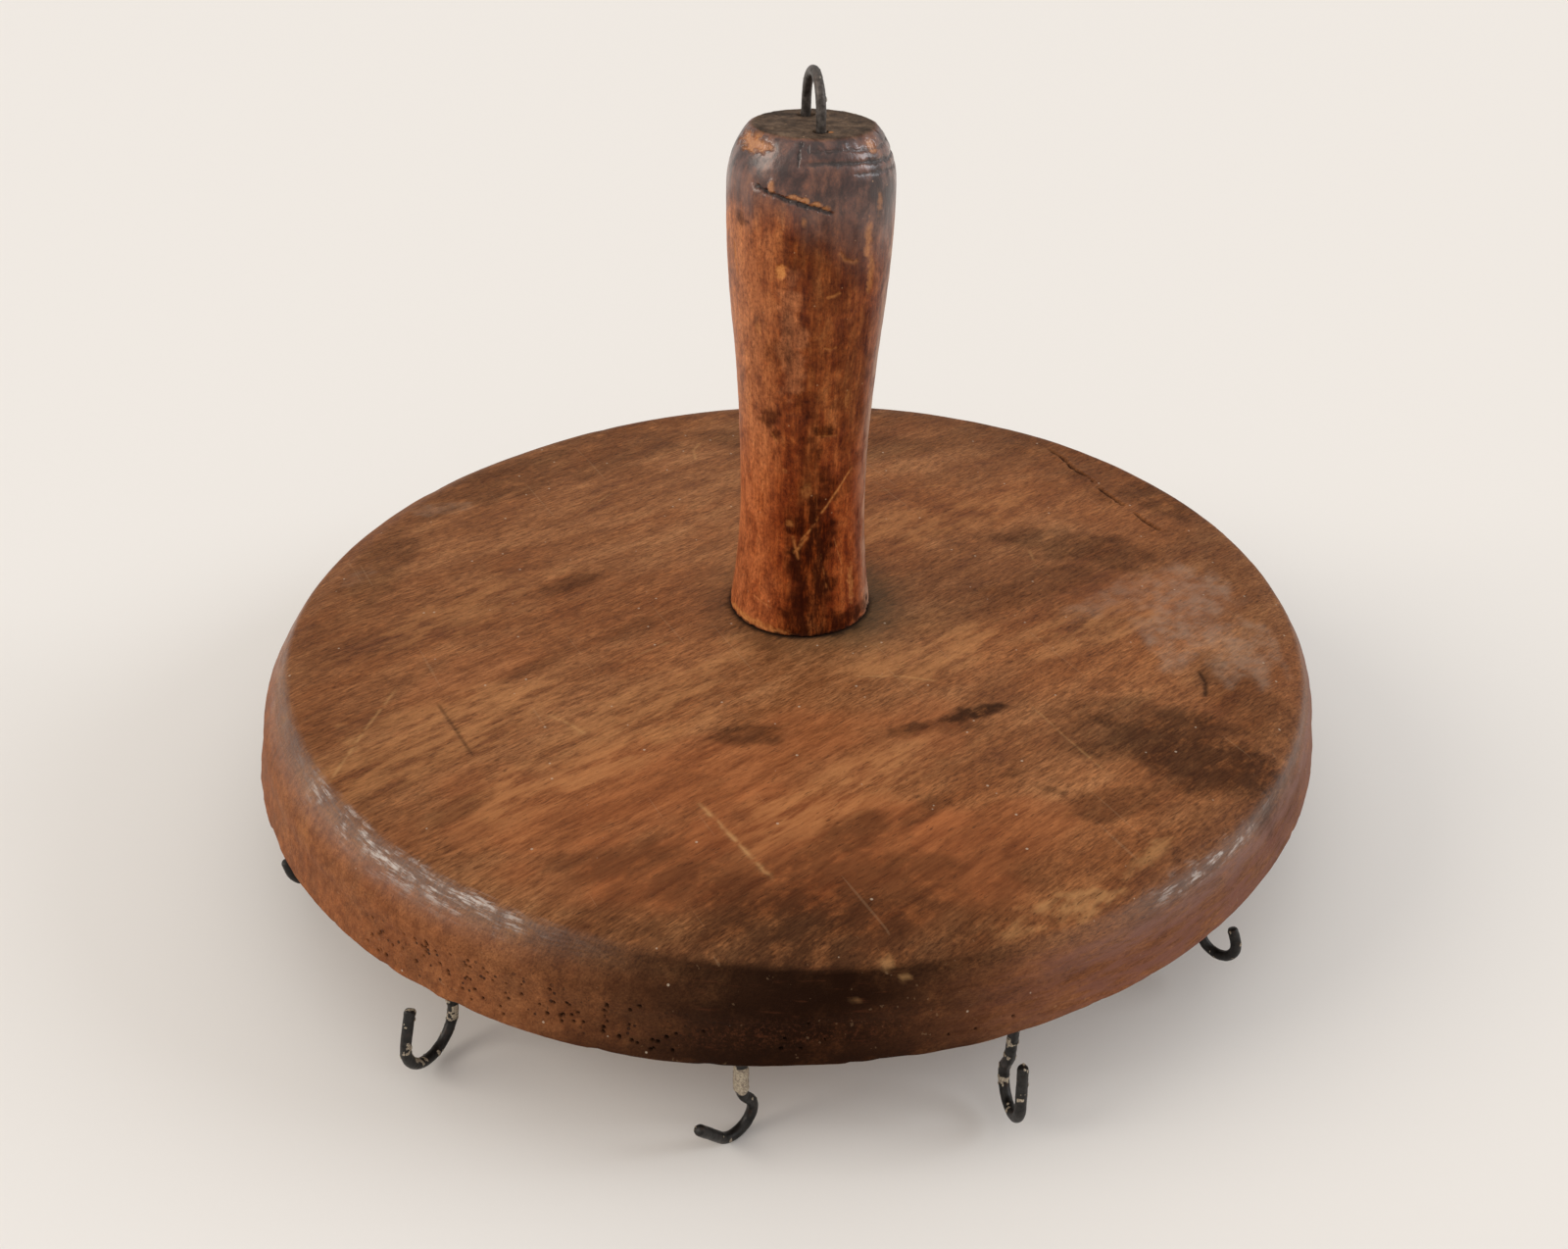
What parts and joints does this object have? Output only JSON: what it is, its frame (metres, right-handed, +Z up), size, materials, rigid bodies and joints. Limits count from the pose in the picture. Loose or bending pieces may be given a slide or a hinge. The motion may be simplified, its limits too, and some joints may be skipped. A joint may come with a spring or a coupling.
{
  "type": "candle dipping wheel",
  "caption": "Thick turned wooden disc with an upright hand grip, a wire hanging loop on top and bent-wire screw hooks under the rim, for hanging wicks while dipping candles.",
  "frame": {"origin": "centre of the flat underside of the disc, on the axis of the grip", "axes": "+Z up along the grip; the board's grain runs at 43 degrees from +X towards +Y; hook_01 stands near -Y and the hooks are numbered anticlockwise seen from above"},
  "size_m": [0.26, 0.2618, 0.1771],
  "materials": {
    "disc_wood": "worn oiled brown wood",
    "grip_wood": "red-brown wood polished by hand",
    "wedge_wood": "plain dry wood",
    "staple_iron": "dark aged iron wire",
    "hook_iron": "blackened iron wire with flakes of old wax"
  },
  "bodies": {
    "wheel": {"disc": "disc_wood", "grip": "grip_wood", "tenon_wedge": "wedge_wood", "hanging_staple": "staple_iron"},
    "hook_01_body": {"hook_01": "hook_iron"},
    "hook_02_body": {"hook_02": "hook_iron"},
    "hook_03_body": {"hook_03": "hook_iron"},
    "hook_04_body": {"hook_04": "hook_iron"},
    "hook_05_body": {"hook_05": "hook_iron"},
    "hook_06_body": {"hook_06": "hook_iron"},
    "hook_07_body": {"hook_07": "hook_iron"},
    "hook_08_body": {"hook_08": "hook_iron"},
    "hook_09_body": {"hook_09": "hook_iron"},
    "hook_10_body": {"hook_10": "hook_iron"},
    "hook_11_body": {"hook_11": "hook_iron"},
    "hook_12_body": {"hook_12": "hook_iron"},
    "hook_13_body": {"hook_13": "hook_iron"}
  },
  "joints": [
    {"name": "hook_01_turn", "type": "hinge", "parent": "wheel", "child": "hook_01_body", "pos_m": [-0.00862, -0.12019, 0], "axis": [0, 0, 1], "range_deg": [-180, 180]},
    {"name": "hook_02_turn", "type": "hinge", "parent": "wheel", "child": "hook_02_body", "pos_m": [0.04395, -0.1122, 0], "axis": [0, 0, 1], "range_deg": [-180, 180]},
    {"name": "hook_03_turn", "type": "hinge", "parent": "wheel", "child": "hook_03_body", "pos_m": [0.09402, -0.07537, 0], "axis": [0, 0, 1], "range_deg": [-180, 180]},
    {"name": "hook_04_turn", "type": "hinge", "parent": "wheel", "child": "hook_04_body", "pos_m": [0.11754, -0.02654, 0], "axis": [0, 0, 1], "range_deg": [-180, 180]},
    {"name": "hook_05_turn", "type": "hinge", "parent": "wheel", "child": "hook_05_body", "pos_m": [0.11556, 0.03416, 0], "axis": [0, 0, 1], "range_deg": [-180, 180]},
    {"name": "hook_06_turn", "type": "hinge", "parent": "wheel", "child": "hook_06_body", "pos_m": [0.0896, 0.08057, 0], "axis": [0, 0, 1], "range_deg": [-180, 180]},
    {"name": "hook_07_turn", "type": "hinge", "parent": "wheel", "child": "hook_07_body", "pos_m": [0.03833, 0.11424, 0], "axis": [0, 0, 1], "range_deg": [-180, 180]},
    {"name": "hook_08_turn", "type": "hinge", "parent": "wheel", "child": "hook_08_body", "pos_m": [-0.01791, 0.11916, 0], "axis": [0, 0, 1], "range_deg": [-180, 180]},
    {"name": "hook_09_turn", "type": "hinge", "parent": "wheel", "child": "hook_09_body", "pos_m": [-0.07375, 0.09529, 0], "axis": [0, 0, 1], "range_deg": [-180, 180]},
    {"name": "hook_10_turn", "type": "hinge", "parent": "wheel", "child": "hook_10_body", "pos_m": [-0.1073, 0.05484, 0], "axis": [0, 0, 1], "range_deg": [-180, 180]},
    {"name": "hook_11_turn", "type": "hinge", "parent": "wheel", "child": "hook_11_body", "pos_m": [-0.12039, -0.00509, 0], "axis": [0, 0, 1], "range_deg": [-180, 180]},
    {"name": "hook_12_turn", "type": "hinge", "parent": "wheel", "child": "hook_12_body", "pos_m": [-0.10801, -0.05342, 0], "axis": [0, 0, 1], "range_deg": [-180, 180]},
    {"name": "hook_13_turn", "type": "hinge", "parent": "wheel", "child": "hook_13_body", "pos_m": [-0.06979, -0.09823, 0], "axis": [0, 0, 1], "range_deg": [-180, 180]}
  ]
}
